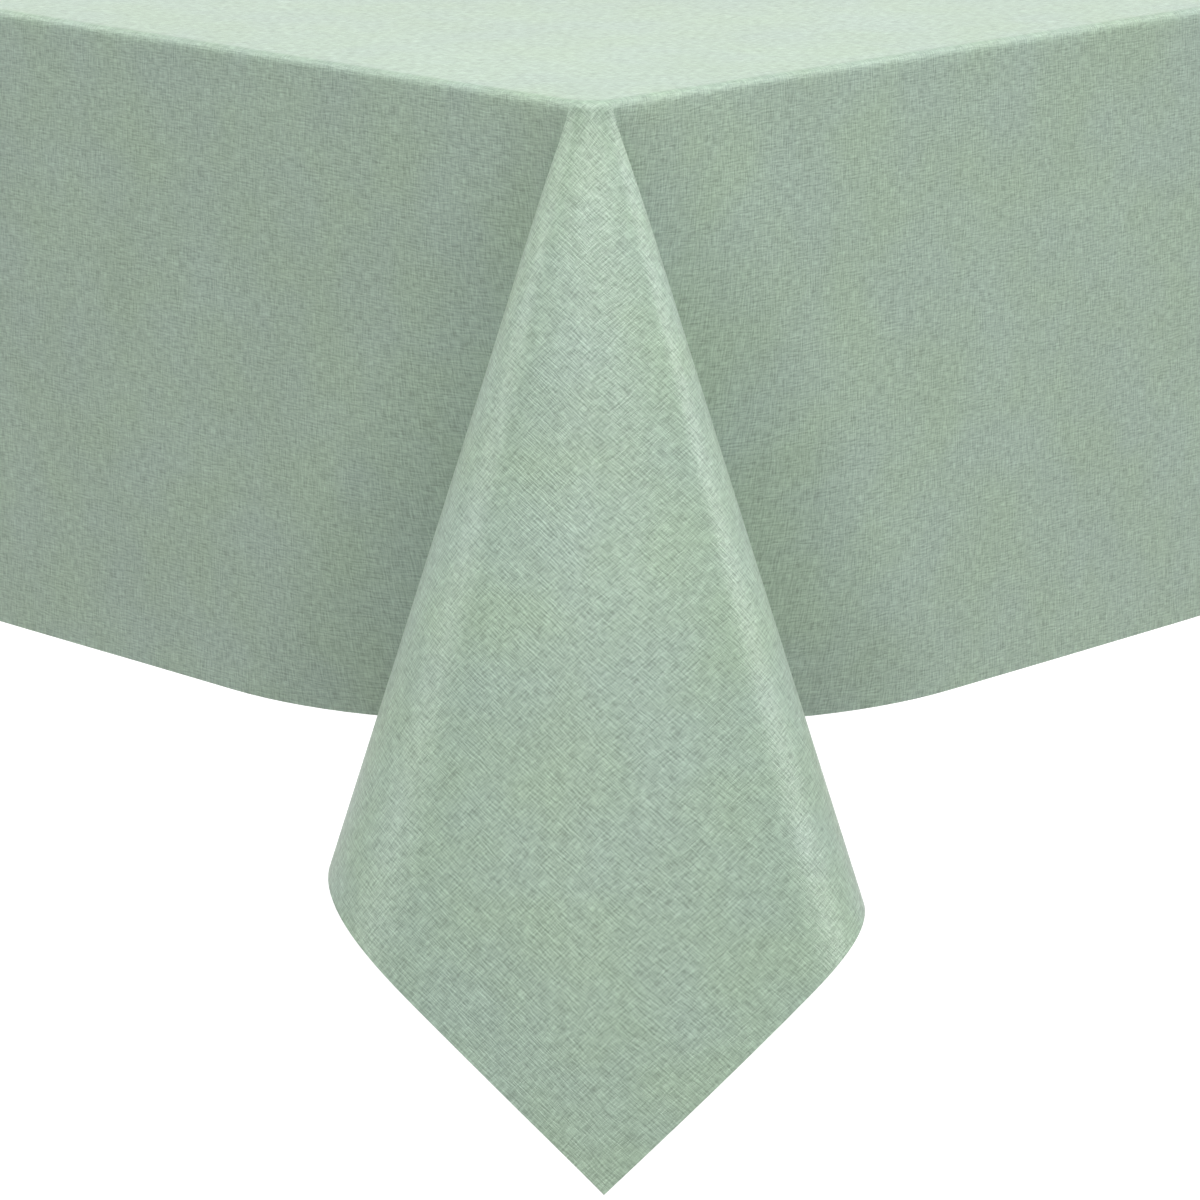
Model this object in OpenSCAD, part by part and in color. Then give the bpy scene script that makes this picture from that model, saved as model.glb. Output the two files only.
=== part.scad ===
// Rectangular dining table on two trestles, dressed with a loose vinyl tablecloth.
// The cloth is a flat rectangle: it lies on the top, hangs straight down the four
// sides, and its spare cloth stands out at each corner as one pointed fold.
// Origin on the floor under the middle of the table, X along its length, +Z up.

/* [Tablecloth] */
// Length of the cloth as it is cut
cloth_l = 2134; // [1990:1:2300]
// Width of the cloth as it is cut
cloth_w = 1524; // [1380:1:1680]
// Thickness of the printed vinyl face
face_t = 0.4; // [0.3:0.05:0.8]
// Thickness of the brushed backing under the vinyl
backing_t = 0.6; // [0.4:0.05:1.2]
// Air left between the hanging cloth and the edge of the top
cloth_gap = 0.5; // [0.4:0.1:2]

/* [Corner folds] */
// Half width of a fold's flat front, for each unit of depth
front_half = 0.40; // [0.34:0.01:0.44]
// How far the front leans out, for each unit of depth
front_out = 0.41; // [0.36:0.01:0.52]
// Distance from the corner to the valley where the fold starts, for each unit of depth
valley_side = 0.05; // [0.03:0.01:0.09]
// Radius of the fold's two front edges, for each unit of depth
front_round = 0.13; // [0.08:0.01:0.15]
// Radius of the valley, for each unit of depth
valley_round = 0.04; // [0.02:0.01:0.06]

/* [Table top] */
// Length of the top
top_l = 1626; // [1500:1:1880]
// Width of the top
top_w = 1016; // [900:1:1220]
// Thickness of the top
top_t = 22; // [20:1:30]
// Height of the top's upper face above the floor
table_h = 750; // [680:1:900]
// Radius of the top's four corners
corner_r = 13; // [10:1:20]
// Radius of the top's upper edge
edge_r = 3; // [2:0.5:4]
// Height of the straight part of the edge
edge_flat = 3; // [2:0.5:5]
// How far the bevel under the edge runs in
bevel_in = 24; // [20:1:36]
// Width of the board across each end of the top
end_board_w = 90; // [70:1:130]
// Thickness of the tongue that joins the end boards
tongue_t = 8; // [6:0.5:10]
// Length of that tongue
tongue_l = 25; // [18:1:35]
// Clearance around the tongue in its groove
tongue_gap = 0.2; // [0.1:0.05:0.5]
// Diameter of the pegs through the end boards
end_peg_d = 8; // [6:0.5:10]
// Number of pegs in each end board
end_pegs = 5; // [3:2:7]
// Distance between neighbouring pegs of an end board
end_peg_pitch = 210; // [150:1:215]

/* [Trestles] */
// Distance from the end of the top to the middle of a trestle
trestle_inset = 47; // [47:1:140]
// Thickness of the post and head beam, along the table
trestle_t = 44; // [40:1:46]
// Width of a post, across the table
post_w = 90; // [80:1:140]
// Length of a head beam, across the table
head_l = 760; // [620:1:780]
// Height of a head beam
head_h = 45; // [40:1:60]
// Height of a head beam at its ends
head_end_h = 26; // [20:1:34]
// Length of the level middle of a head or foot beam
beam_flat_l = 260; // [200:1:300]
// Length of a foot beam, across the table
foot_l = 760; // [620:1:860]
// Width of a foot beam, along the table
foot_w = 80; // [70:1:100]
// Height of a foot beam
foot_h = 65; // [55:1:90]
// Height of a foot beam at its ends
foot_end_h = 40; // [30:1:50]
// Depth of the hollow under a foot beam
foot_relief = 12; // [6:1:16]
// Length of the pad left at each end of a foot beam
foot_pad_l = 110; // [80:1:150]
// Thickness of a post's tenons, along the table
tenon_t = 20; // [14:1:24]
// Width of a post's tenons, across the table
tenon_w = 60; // [50:1:70]
// Length of a post's tenons
tenon_l = 32; // [25:1:36]
// Clearance around a tenon in its mortise
tenon_gap = 0.2; // [0.1:0.05:0.4]
// Diameter of the pegs that hold the tenons
tenon_peg_d = 8; // [6:0.5:10]
// Distance between the two pegs of a tenon
tenon_peg_pitch = 32; // [26:1:38]

/* [Rail] */
// Thickness of the rail under the top
rail_t = 28; // [26:1:40]
// Height of the rail
rail_h = 120; // [110:1:150]
// Width of the two cleats beside the rail
cleat_w = 22; // [20:1:30]
// Height of the cleats
cleat_h = 20; // [18:1:26]
// Length of the cleats
cleat_l = 1000; // [800:1:1100]
// Distance from the end of a cleat to its last screw
cleat_screw_end = 60; // [30:1:100]
// Number of screws up through each cleat
cleat_screws_n = 5; // [3:1:7]

/* [Fasteners] */
// Shank diameter of the rail bolts
bolt_d = 8; // [6:1:10]
// Head diameter of the rail bolts
bolt_head_d = 13; // [11:1:16]
// Head height of the rail bolts
bolt_head_h = 8; // [6:1:10]
// Width across the flats of the hexagon socket in a bolt head
bolt_socket = 6; // [5:0.5:8]
// Depth of the counterbore for a bolt head
bolt_bore_h = 14; // [12:1:18]
// Diameter of the counterbore for a bolt head
bolt_bore_d = 24; // [22:1:28]
// Height of the lower bolt under the top's lower face
bolt_low = 94; // [88:1:100]
// Distance between the two bolts of a post
bolt_pitch = 30; // [26:1:34]
// Clearance of a bolt in its hole, on the diameter
bolt_gap = 0.6; // [0.2:0.1:1]
// Outer diameter of the bolt washers
washer_d = 20; // [18:1:22]
// Thickness of the bolt washers
washer_t = 1.6; // [1:0.1:2.5]
// Diameter of the barrel nuts
nut_d = 14; // [13:1:16]
// Length of the barrel nuts
nut_l = 22; // [18:1:24]
// How far the rail bolts run past the middle of their nuts
bolt_past_nut = 11; // [7:1:13]
// Distance from the end of the rail to the barrel nuts
nut_in = 45; // [35:1:60]
// Shank diameter of the wood screws
screw_d = 5; // [4:0.5:6]
// Head diameter of the wood screws
screw_head_d = 10; // [8:0.5:12]
// Head height of the wood screws
screw_head_h = 3.2; // [2.5:0.1:4]
// Width of the slots in a wood screw's head
screw_slot_w = 1; // [0.8:0.1:1.4]
// Length of those slots
screw_slot_l = 6; // [4:0.5:7]
// Distance from the middle of a head beam to its inner screws
head_screw_in = 129; // [90:1:150]
// Distance from the middle of a head beam to its outer screws
head_screw_out = 274; // [200:1:280]
// Clearance of a screw in its hole through a head beam, on the diameter
screw_gap = 1; // [0.6:0.1:2]
// How far the wood screws go into the top
screw_bite = 14; // [10:1:16]
// Depth of the counterbore under a head beam's screws
screw_bore_h = 16; // [12:1:20]
// Diameter of that counterbore
screw_bore_d = 16; // [14:1:20]
// Outer diameter of the screw washers
screw_washer_d = 14; // [12:0.5:15]
// Thickness of the screw washers
screw_washer_t = 1; // [0.8:0.1:1.5]
// How far the top can slide on its screws as the wood moves
slot_play = 6; // [2:1:8]

/* [Glides] */
// Diameter of the glides under the feet
glide_d = 40; // [30:1:50]
// Thickness of the glides
glide_t = 6; // [4:0.5:10]
// Diameter of the pin that holds a glide
glide_pin_d = 4; // [3:0.5:6]
// How far that pin goes up into the foot beam
glide_pin_l = 22; // [15:1:28]

/* [Hidden] */
$fn = 48;
CUT = 1;                                      // how far a cutting shape runs past a face

VINYL = [0.62, 0.72, 0.65];
FLANNEL = [0.90, 0.90, 0.87];
OAK = [0.78, 0.63, 0.44];
OAK_DARK = [0.62, 0.46, 0.30];
STEEL = [0.72, 0.73, 0.75];
NYLON = [0.20, 0.20, 0.21];

// ---------------------------------------------------------------- levels and places
cloth_t = face_t + backing_t;
top_under = table_h - top_t;
head_under = top_under - head_h;
foot_top = glide_t + foot_h;
trestle_x = top_l / 2 - trestle_inset;
post_inner_x = trestle_x - trestle_t / 2;
post_outer_x = trestle_x + trestle_t / 2;
panel_half_l = top_l / 2 - end_board_w;
rail_under = top_under - rail_h;
bolt_zs = [top_under - bolt_low, top_under - bolt_low + bolt_pitch];
nut_x = post_inner_x - nut_in;
head_tenon_peg_z = head_under + tenon_l / 2;
foot_tenon_peg_z = foot_top - tenon_l / 2;
glide_y = foot_l / 2 - foot_pad_l / 2;
end_peg_x = panel_half_l + tongue_l / 2;
end_peg_l = top_t - edge_r;
top_screw_ys = [-head_screw_out, -head_screw_in, head_screw_in, head_screw_out];
cleat_screw_span = cleat_l - 2 * cleat_screw_end;

// ================================================================ the draped cloth
// One corner is worked out in its own axes: across the corner, then out along its
// diagonal, from the point where the two straight edges of the cloth would meet.
// Every line of the drape is straight from the table's edge down to the hem.

VALLEY_STEPS = 5;
FRONT_STEPS = 7;
EDGE_STEPS = 3;
edge_reach = edge_r + cloth_t;                // how far the bend over the edge reaches
drape_r = corner_r + cloth_gap + cloth_t;     // corner radius of the cloth's outside
drape_half = [top_l / 2 + cloth_gap + cloth_t, top_w / 2 + cloth_gap + cloth_t];
side_l = 60;                                  // straight side drawn as part of a corner
SIDE_OUT = 0.6;                               // reach of its far line, for each unit of depth

function unit(v) = v / norm(v);
function sum_to(list, k) = k < 0 ? 0 : list[k] + sum_to(list, k - 1);

// Arc of radius r that rounds the corner b between the lines from a and to c
function rounded(a, b, c, r, steps) =
    let(
        u = unit(a - b),
        v = unit(c - b),
        half = acos(u * v) / 2,
        centre = b + unit(u + v) * r / sin(half),
        p = b + u * r / tan(half) - centre,
        q = b + v * r / tan(half) - centre,
        side = p[0] * q[1] - p[1] * q[0] < 0 ? -1 : 1,
        sweep = side * acos(p * q / (r * r))
    )
    [for (i = [0:steps])
        let(a = sweep * i / steps)
        centre + [p[0] * cos(a) - p[1] * sin(a), p[0] * sin(a) + p[1] * cos(a)]];

// Half of the section at one unit of depth, from the hanging side to the front's middle.
// The side stays outside the table's outline, so the cloth lifts straight off.
side_far = [-SIDE_OUT, -SIDE_OUT];
valley = [-valley_side, -valley_side];
front_edge = [-front_half, front_out];
front_mid = [0, front_out];
valley_arc = rounded(side_far, valley, front_edge, valley_round, VALLEY_STEPS);
front_arc = rounded(valley, front_edge, front_mid, front_round, FRONT_STEPS);
half_section = concat([side_far], valley_arc, front_arc);
COLS = len(half_section);
VALLEY_MID = 1 + floor(VALLEY_STEPS / 2);     // section point at the bottom of the valley
FRONT_FIRST = VALLEY_STEPS + 2;               // first section point of the front's edge

// Direction of the drape line through a section point, and the angle that the flat
// cloth has turned from the front's middle line to it: 45 degrees from there to the
// valley, and on from the valley as much as a line on the flat side slants
function line_dir(p) = unit([p[0], p[1], -1]);
function angle_between(p, q) = acos(min(1, line_dir(p) * line_dir(q)));
steps_between = [for (i = [0:COLS - 1])
    angle_between(half_section[i], i < COLS - 1 ? half_section[i + 1] : front_mid)];
function angle_to_mid(i) = sum_to(steps_between, COLS - 1) - sum_to(steps_between, i - 1);
function angle_turned(i) =
    i > VALLEY_MID
    ? 45 * angle_to_mid(i) / angle_to_mid(VALLEY_MID)
    : 45 + atan(norm(half_section[i]));
turned = [for (i = [0:COLS - 1]) angle_turned(i)];

// Where each line leaves the edge: from 0 at the corner's middle to 1 where the arc
// ends, and past 1 along the straight edge
FRONT_SHARE = 0.2;                            // share of the arc under the flat front
BEND_SHARE = 0.5;                             // share of it under the front's edge
function feed(i) =
    i >= FRONT_FIRST
    ? FRONT_SHARE + BEND_SHARE * (COLS - 1 - i) / FRONT_STEPS
    : i >= 1
    ? 1 - (1 - FRONT_SHARE - BEND_SHARE) * (i - 1) / (VALLEY_STEPS + 1)
    : 2;

// Point of the edge, and the way out from it, for a feed from 0 to 2
function edge_point(f) =
    f <= 1
    ? [-drape_r * sin(45 * f), drape_r * (cos(45 * f) - sqrt(2))]
    : [1, 1] * (-drape_r / sqrt(2) - side_l * (f - 1) / sqrt(2));
function edge_out(f) = [-sin(45 * min(f, 1)), cos(45 * min(f, 1))];

// Length of a line from the edge to the hem, for a side that hangs by drop
function line_length(f, angle, drop) =
    (drop + drape_r * (1 - cos(45 * (1 - min(f, 1))))) / cos(45 - angle);

// A column is [edge point, way out, direction, length]
function half_columns(drop) = [for (i = [0:COLS - 1])
    let(f = feed(i))
    [edge_point(f), edge_out(f), line_dir(half_section[i]), line_length(f, turned[i], drop)]];
function mirrored(c) =
    [[-c[0][0], c[0][1]], [-c[1][0], c[1][1]], [-c[2][0], c[2][1], c[2][2]], c[3]];

// The middle column runs down to the cloth's own corner, where its two hems meet
function middle_column(drop_a, drop_b) =
    let(
        spare = drape_r * (1 - cos(45)),
        skew = 45 - atan2(drop_a + spare, drop_b + spare),
        lean = norm([front_out, 1])
    )
    [edge_point(0), edge_out(0), line_dir([lean * tan(skew), front_out]),
     norm([drop_a + spare, drop_b + spare])];

function corner_columns(drop_a, drop_b) =
    let(b = half_columns(drop_b))
    concat(
        half_columns(drop_a),
        [middle_column(drop_a, drop_b)],
        [for (i = [COLS - 1:-1:0]) mirrored(b[i])]
    );

// Points of a column from the flat top, over the edge and down to the hem
function over_edge(c, s) =
    let(
        a = [c[0][0], c[0][1], 0],
        from = a - edge_reach * [c[1][0], c[1][1], 0],
        to = a + edge_reach * c[2]
    )
    from * (1 - s) * (1 - s) + a * 2 * s * (1 - s) + to * s * s;
function down_line(c, r) = [c[0][0], c[0][1], 0] + r * c[2];
ROW_SHARES = [0.2, 0.6, 1];
function column_points(c) = concat(
    [for (j = [0:EDGE_STEPS]) over_edge(c, j / EDGE_STEPS)],
    [for (s = ROW_SHARES) down_line(c, edge_reach + (c[3] - edge_reach) * s)]
);
ROWS = EDGE_STEPS + 1 + len(ROW_SHARES);

// The four corners, each turned to its own diagonal, joined by the straight sides
bend_saving = edge_reach * (2 - PI / 2);      // cloth saved by rounding the edge's corner
drop_x = (cloth_l - top_l) / 2 - cloth_gap - cloth_t + bend_saving;
drop_y = (cloth_w - top_w) / 2 - cloth_gap - cloth_t + bend_saving;
function placed(p, k) =
    let(
        a = 90 * k - 45,
        x = (k == 0 || k == 1 ? 1 : -1) * drape_half[0],
        y = (k == 1 || k == 2 ? 1 : -1) * drape_half[1]
    )
    [x - p[0] * sin(a) + p[1] * cos(a), y + p[0] * cos(a) + p[1] * sin(a),
     table_h + cloth_t + p[2]];
outside = [for (k = [0:3])
    for (c = k % 2 == 0 ? corner_columns(drop_y, drop_x) : corner_columns(drop_x, drop_y))
        [for (p = column_points(c)) placed(p, k)]];
ALL_COLS = len(outside);

// Outward normal of the drape at one of its points
function drape_normal(i, j) =
    j == 0
    ? [0, 0, 1]
    : let(
        along = outside[(i + 1) % ALL_COLS][j] - outside[(i + ALL_COLS - 1) % ALL_COLS][j],
        down = outside[i][min(j + 1, ROWS - 1)] - outside[i][j - 1]
    )
    unit(cross(unit(down), unit(along)));
normals = [for (i = [0:ALL_COLS - 1]) [for (j = [0:ROWS - 1]) drape_normal(i, j)]];

// Closed skin between two depths under the outside of the cloth
module cloth_skin(from, to) {
    points = concat(
        [for (depth = [from, to])
            for (i = [0:ALL_COLS - 1])
                for (j = [0:ROWS - 1])
                    outside[i][j] - depth * normals[i][j]],
        [for (depth = [from, to]) [0, 0, table_h + cloth_t - depth]]
    );
    layer = ALL_COLS * ROWS;
    middle = 2 * layer;
    function at(i, j, side) = side * layer + (i % ALL_COLS) * ROWS + j;
    faces = concat(
        [for (i = [0:ALL_COLS - 1]) for (j = [0:ROWS - 2]) for (half = [0, 1])
            half == 0
            ? [at(i, j, 0), at(i + 1, j + 1, 0), at(i, j + 1, 0)]
            : [at(i, j, 0), at(i + 1, j, 0), at(i + 1, j + 1, 0)]],
        [for (i = [0:ALL_COLS - 1]) for (j = [0:ROWS - 2]) for (half = [0, 1])
            half == 0
            ? [at(i, j, 1), at(i, j + 1, 1), at(i + 1, j + 1, 1)]
            : [at(i, j, 1), at(i + 1, j + 1, 1), at(i + 1, j, 1)]],
        [for (i = [0:ALL_COLS - 1]) for (half = [0, 1])
            half == 0
            ? [at(i, ROWS - 1, 0), at(i + 1, ROWS - 1, 0), at(i + 1, ROWS - 1, 1)]
            : [at(i, ROWS - 1, 0), at(i + 1, ROWS - 1, 1), at(i, ROWS - 1, 1)]],
        [for (i = [0:ALL_COLS - 1]) [at(i + 1, 0, 0), at(i, 0, 0), middle]],
        [for (i = [0:ALL_COLS - 1]) [at(i, 0, 1), at(i + 1, 0, 1), middle + 1]]
    );
    polyhedron(points, faces);
}

module cloth_face() {
    color(VINYL) cloth_skin(0, face_t);
}

module cloth_backing() {
    color(FLANNEL) cloth_skin(face_t, cloth_t);
}

// ================================================================ the table top
// Upright box between two corners
module block(low, high) {
    translate(low) cube(high - low);
}

// The whole top with its rounded upper edge and the bevel under it, as rings of
// points that run round its outline, each drawn in by an inset at a height
CORNER_STEPS = 6;
ROUND_STEPS = 4;
MIN_R = 1;                                    // least corner radius of a drawn-in ring
top_rings = concat(
    [[bevel_in, top_under], [0, table_h - edge_r - edge_flat]],
    [for (i = [0:ROUND_STEPS])
        let(a = 90 * i / ROUND_STEPS)
        [edge_r * (1 - cos(a)), table_h - edge_r * (1 - sin(a))]]
);
RING_POINTS = 4 * (CORNER_STEPS + 1);

function ring_points(inset, z) =
    let(r = max(corner_r - inset, MIN_R))
    [for (k = [0:3])
        for (i = [0:CORNER_STEPS])
            let(
                a = 90 * (k - 1) + 90 * i / CORNER_STEPS,
                x = (k == 0 || k == 1 ? 1 : -1) * (top_l / 2 - inset - r),
                y = (k == 1 || k == 2 ? 1 : -1) * (top_w / 2 - inset - r)
            )
            [x + r * cos(a), y + r * sin(a), z]];

module top_blank() {
    rings = len(top_rings);
    points = concat(
        [for (ring = top_rings) for (p = ring_points(ring[0], ring[1])) p],
        [[0, 0, top_under], [0, 0, table_h]]
    );
    low_middle = rings * RING_POINTS;
    function at(i, j) = j * RING_POINTS + i % RING_POINTS;
    faces = concat(
        [for (i = [0:RING_POINTS - 1]) for (j = [0:rings - 2]) for (half = [0, 1])
            half == 0
            ? [at(i, j), at(i + 1, j + 1), at(i + 1, j)]
            : [at(i, j), at(i, j + 1), at(i + 1, j + 1)]],
        [for (i = [0:RING_POINTS - 1]) [at(i, 0), at(i + 1, 0), low_middle]],
        [for (i = [0:RING_POINTS - 1]) [at(i + 1, rings - 1), at(i, rings - 1), low_middle + 1]]
    );
    polyhedron(points, faces);
}

module tongue(grow, side) {
    mid = top_under + top_t / 2;
    half_w = top_w / 2 - corner_r - bevel_in;
    x0 = side * (panel_half_l - CUT);
    x1 = side * (panel_half_l + tongue_l + grow);
    block(
        [min(x0, x1), -half_w - grow, mid - tongue_t / 2 - grow],
        [max(x0, x1), half_w + grow, mid + tongue_t / 2 + grow]
    );
}

// Bores up into the top for the screws of the head beams and the cleats
module top_screw_bores() {
    for (sx = [-1, 1])
        for (y = top_screw_ys)
            translate([sx * trestle_x, y, top_under - CUT])
                cylinder(d = screw_d, h = screw_bite + CUT);
}

module cleat_screw_bores() {
    for (p = cleat_screw_places())
        translate([p[0], p[1], top_under - CUT])
            cylinder(d = screw_d, h = screw_bite + CUT);
}

module end_peg_bores() {
    for (sx = [-1, 1])
        for (i = [0:end_pegs - 1])
            translate([sx * end_peg_x, (i - (end_pegs - 1) / 2) * end_peg_pitch, top_under - CUT])
                cylinder(d = end_peg_d, h = end_peg_l + CUT);
}

module top_panel() {
    color(OAK)
        difference() {
            union() {
                intersection() {
                    top_blank();
                    block([-panel_half_l, -top_w, 0], [panel_half_l, top_w, table_h + CUT]);
                }
                tongue(0, -1);
                tongue(0, 1);
            }
            end_peg_bores();
            top_screw_bores();
            cleat_screw_bores();
        }
}

module end_board(side) {
    far = side * top_l;
    near = side * panel_half_l;
    color(OAK)
        difference() {
            intersection() {
                top_blank();
                block([min(far, near), -top_w, 0], [max(far, near), top_w, table_h + CUT]);
            }
            tongue(tongue_gap, side);
            end_peg_bores();
            top_screw_bores();
        }
}

module end_board_left() {
    end_board(-1);
}

module end_board_right() {
    end_board(1);
}

module end_board_pegs() {
    color(OAK_DARK)
        for (sx = [-1, 1])
            for (i = [0:end_pegs - 1])
                translate([sx * end_peg_x, (i - (end_pegs - 1) / 2) * end_peg_pitch, top_under])
                    cylinder(d = end_peg_d, h = end_peg_l);
}

// ================================================================ the trestles
// Beam along Y whose lower or upper side rises or falls towards its ends
module beam(length, width, height, end_height, flat, x, z, taper_under) {
    low = taper_under ? height - end_height : 0;
    high = taper_under ? height : end_height;
    translate([x - width / 2, 0, z])
        rotate([90, 0, 90])
            linear_extrude(width)
                polygon([
                    [-length / 2, low], [-flat / 2, 0], [flat / 2, 0], [length / 2, low],
                    [length / 2, high], [flat / 2, height], [-flat / 2, height],
                    [-length / 2, high]
                ]);
}

module tenon(side, z0, z1, grow) {
    block(
        [side * trestle_x - tenon_t / 2 - grow, -tenon_w / 2 - grow, z0],
        [side * trestle_x + tenon_t / 2 + grow, tenon_w / 2 + grow, z1]
    );
}

// Pegs along X through a tenon, as pegs or as the bores for them
module tenon_peg_pair(side, z, length) {
    for (sy = [-1, 1])
        translate([side * trestle_x - length / 2, sy * tenon_peg_pitch / 2, z])
            rotate([0, 90, 0])
                cylinder(d = tenon_peg_d, h = length);
}

module head_beam(side) {
    slot_d = screw_d + screw_gap;
    color(OAK)
        difference() {
            beam(head_l, trestle_t, head_h, head_end_h, beam_flat_l, side * trestle_x,
                 head_under, true);
            tenon(side, head_under - CUT, head_under + tenon_l + tenon_gap, tenon_gap);
            tenon_peg_pair(side, head_tenon_peg_z, trestle_t + 2 * CUT);
            for (y = top_screw_ys) {
                for (dy = [-slot_play / 2, slot_play / 2])
                    translate([side * trestle_x, y + dy, 0]) {
                        cylinder(d = slot_d, h = top_under + CUT);
                        cylinder(d = screw_bore_d, h = head_under + screw_bore_h);
                    }
                block(
                    [side * trestle_x - slot_d / 2, y - slot_play / 2, 0],
                    [side * trestle_x + slot_d / 2, y + slot_play / 2, top_under + CUT]
                );
                block(
                    [side * trestle_x - screw_bore_d / 2, y - slot_play / 2, 0],
                    [side * trestle_x + screw_bore_d / 2, y + slot_play / 2,
                     head_under + screw_bore_h]
                );
            }
        }
}

module head_beam_left() {
    head_beam(-1);
}

module head_beam_right() {
    head_beam(1);
}

// Holes along X for the rail bolts, from the outer side of a post
module rail_bolt_bores(side) {
    for (z = bolt_zs) {
        translate([side * (nut_x - nut_d), 0, z])
            rotate([0, side * 90, 0])
                cylinder(d = bolt_d + bolt_gap, h = post_outer_x - nut_x + nut_d + CUT);
        translate([side * (post_outer_x - bolt_bore_h), 0, z])
            rotate([0, side * 90, 0])
                cylinder(d = bolt_bore_d, h = bolt_bore_h + CUT);
    }
}

module post(side) {
    color(OAK)
        difference() {
            union() {
                block(
                    [side * trestle_x - trestle_t / 2, -post_w / 2, foot_top],
                    [side * trestle_x + trestle_t / 2, post_w / 2, head_under]
                );
                tenon(side, foot_top - tenon_l, head_under + tenon_l, 0);
            }
            tenon_peg_pair(side, head_tenon_peg_z, trestle_t);
            tenon_peg_pair(side, foot_tenon_peg_z, trestle_t);
            rail_bolt_bores(side);
        }
}

module post_left() {
    post(-1);
}

module post_right() {
    post(1);
}

module foot_beam(side) {
    relief_half = foot_l / 2 - foot_pad_l;
    color(OAK)
        difference() {
            beam(foot_l, foot_w, foot_h, foot_end_h, beam_flat_l, side * trestle_x,
                 glide_t, false);
            block(
                [side * trestle_x - foot_w, -relief_half, 0],
                [side * trestle_x + foot_w, relief_half, glide_t + foot_relief]
            );
            tenon(side, foot_top - tenon_l - tenon_gap, foot_top + CUT, tenon_gap);
            tenon_peg_pair(side, foot_tenon_peg_z, foot_w + 2 * CUT);
            for (sy = [-1, 1])
                translate([side * trestle_x, sy * glide_y, 0])
                    cylinder(d = glide_pin_d, h = glide_t + glide_pin_l);
        }
}

module foot_beam_left() {
    foot_beam(-1);
}

module foot_beam_right() {
    foot_beam(1);
}

module tenon_pegs() {
    color(OAK_DARK)
        for (side = [-1, 1]) {
            tenon_peg_pair(side, head_tenon_peg_z, trestle_t);
            tenon_peg_pair(side, foot_tenon_peg_z, foot_w);
        }
}

// ================================================================ the rail and its cleats
function cleat_screw_places() = [
    for (sy = [-1, 1])
        for (i = [0:cleat_screws_n - 1])
            [(i / (cleat_screws_n - 1) - 0.5) * cleat_screw_span, sy * (rail_t + cleat_w) / 2]
];

module top_rail() {
    color(OAK)
        difference() {
            block([-post_inner_x, -rail_t / 2, rail_under], [post_inner_x, rail_t / 2, top_under]);
            for (side = [-1, 1]) {
                rail_bolt_bores(side);
                for (z = bolt_zs)
                    translate([side * nut_x, -rail_t, z])
                        rotate([-90, 0, 0])
                            cylinder(d = nut_d, h = 2 * rail_t);
            }
        }
}

module cleat(side) {
    near = side * rail_t / 2;
    far = side * (rail_t / 2 + cleat_w);
    color(OAK)
        difference() {
            block(
                [-cleat_l / 2, min(near, far), top_under - cleat_h],
                [cleat_l / 2, max(near, far), top_under]
            );
            for (p = cleat_screw_places())
                translate([p[0], p[1], 0])
                    cylinder(d = screw_d, h = top_under + CUT);
        }
}

module cleat_front() {
    cleat(-1);
}

module cleat_back() {
    cleat(1);
}

// ================================================================ the fasteners
// Round-headed wood screw that points up, with the underside of its head at z = 0
module wood_screw(length) {
    difference() {
        union() {
            cylinder(d = screw_d, h = length);
            translate([0, 0, -screw_head_h]) cylinder(d = screw_head_d, h = screw_head_h);
        }
        for (a = [0, 90])
            rotate([0, 0, a])
                block(
                    [-screw_slot_l / 2, -screw_slot_w / 2, -screw_head_h - CUT],
                    [screw_slot_l / 2, screw_slot_w / 2, -screw_head_h / 2]
                );
    }
}

module cleat_screws() {
    color(STEEL)
        for (p = cleat_screw_places())
            translate([p[0], p[1], top_under - cleat_h])
                wood_screw(cleat_h + screw_bite);
}

module top_screws() {
    seat = head_under + screw_bore_h;
    color(STEEL)
        for (sx = [-1, 1])
            for (y = top_screw_ys)
                translate([sx * trestle_x, y, seat - screw_washer_t])
                    wood_screw(top_under - seat + screw_washer_t + screw_bite);
}

module top_screw_washers() {
    color(STEEL)
        for (sx = [-1, 1])
            for (y = top_screw_ys)
                translate([sx * trestle_x, y, head_under + screw_bore_h - screw_washer_t])
                    difference() {
                        cylinder(d = screw_washer_d, h = screw_washer_t);
                        translate([0, 0, -CUT])
                            cylinder(d = screw_d, h = screw_washer_t + 2 * CUT);
                    }
}

// Socket-headed bolt that points towards the middle of the table
module rail_bolt(side, z) {
    seat_x = post_outer_x - bolt_bore_h + washer_t;
    translate([side * seat_x, 0, z])
        rotate([0, -side * 90, 0])
            difference() {
                union() {
                    cylinder(d = bolt_d, h = seat_x - nut_x + bolt_past_nut);
                    translate([0, 0, -bolt_head_h]) cylinder(d = bolt_head_d, h = bolt_head_h);
                }
                translate([0, 0, -bolt_head_h - CUT])
                    cylinder(d = bolt_socket / cos(30), h = bolt_head_h / 2 + CUT, $fn = 6);
            }
}

module rail_bolts() {
    color(STEEL)
        for (side = [-1, 1])
            for (z = bolt_zs)
                rail_bolt(side, z);
}

module rail_bolt_washers() {
    color(STEEL)
        for (side = [-1, 1])
            for (z = bolt_zs)
                translate([side * (post_outer_x - bolt_bore_h), 0, z])
                    rotate([0, side * 90, 0])
                        difference() {
                            cylinder(d = washer_d, h = washer_t);
                            translate([0, 0, -CUT])
                                cylinder(d = bolt_d + bolt_gap, h = washer_t + 2 * CUT);
                        }
}

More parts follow.
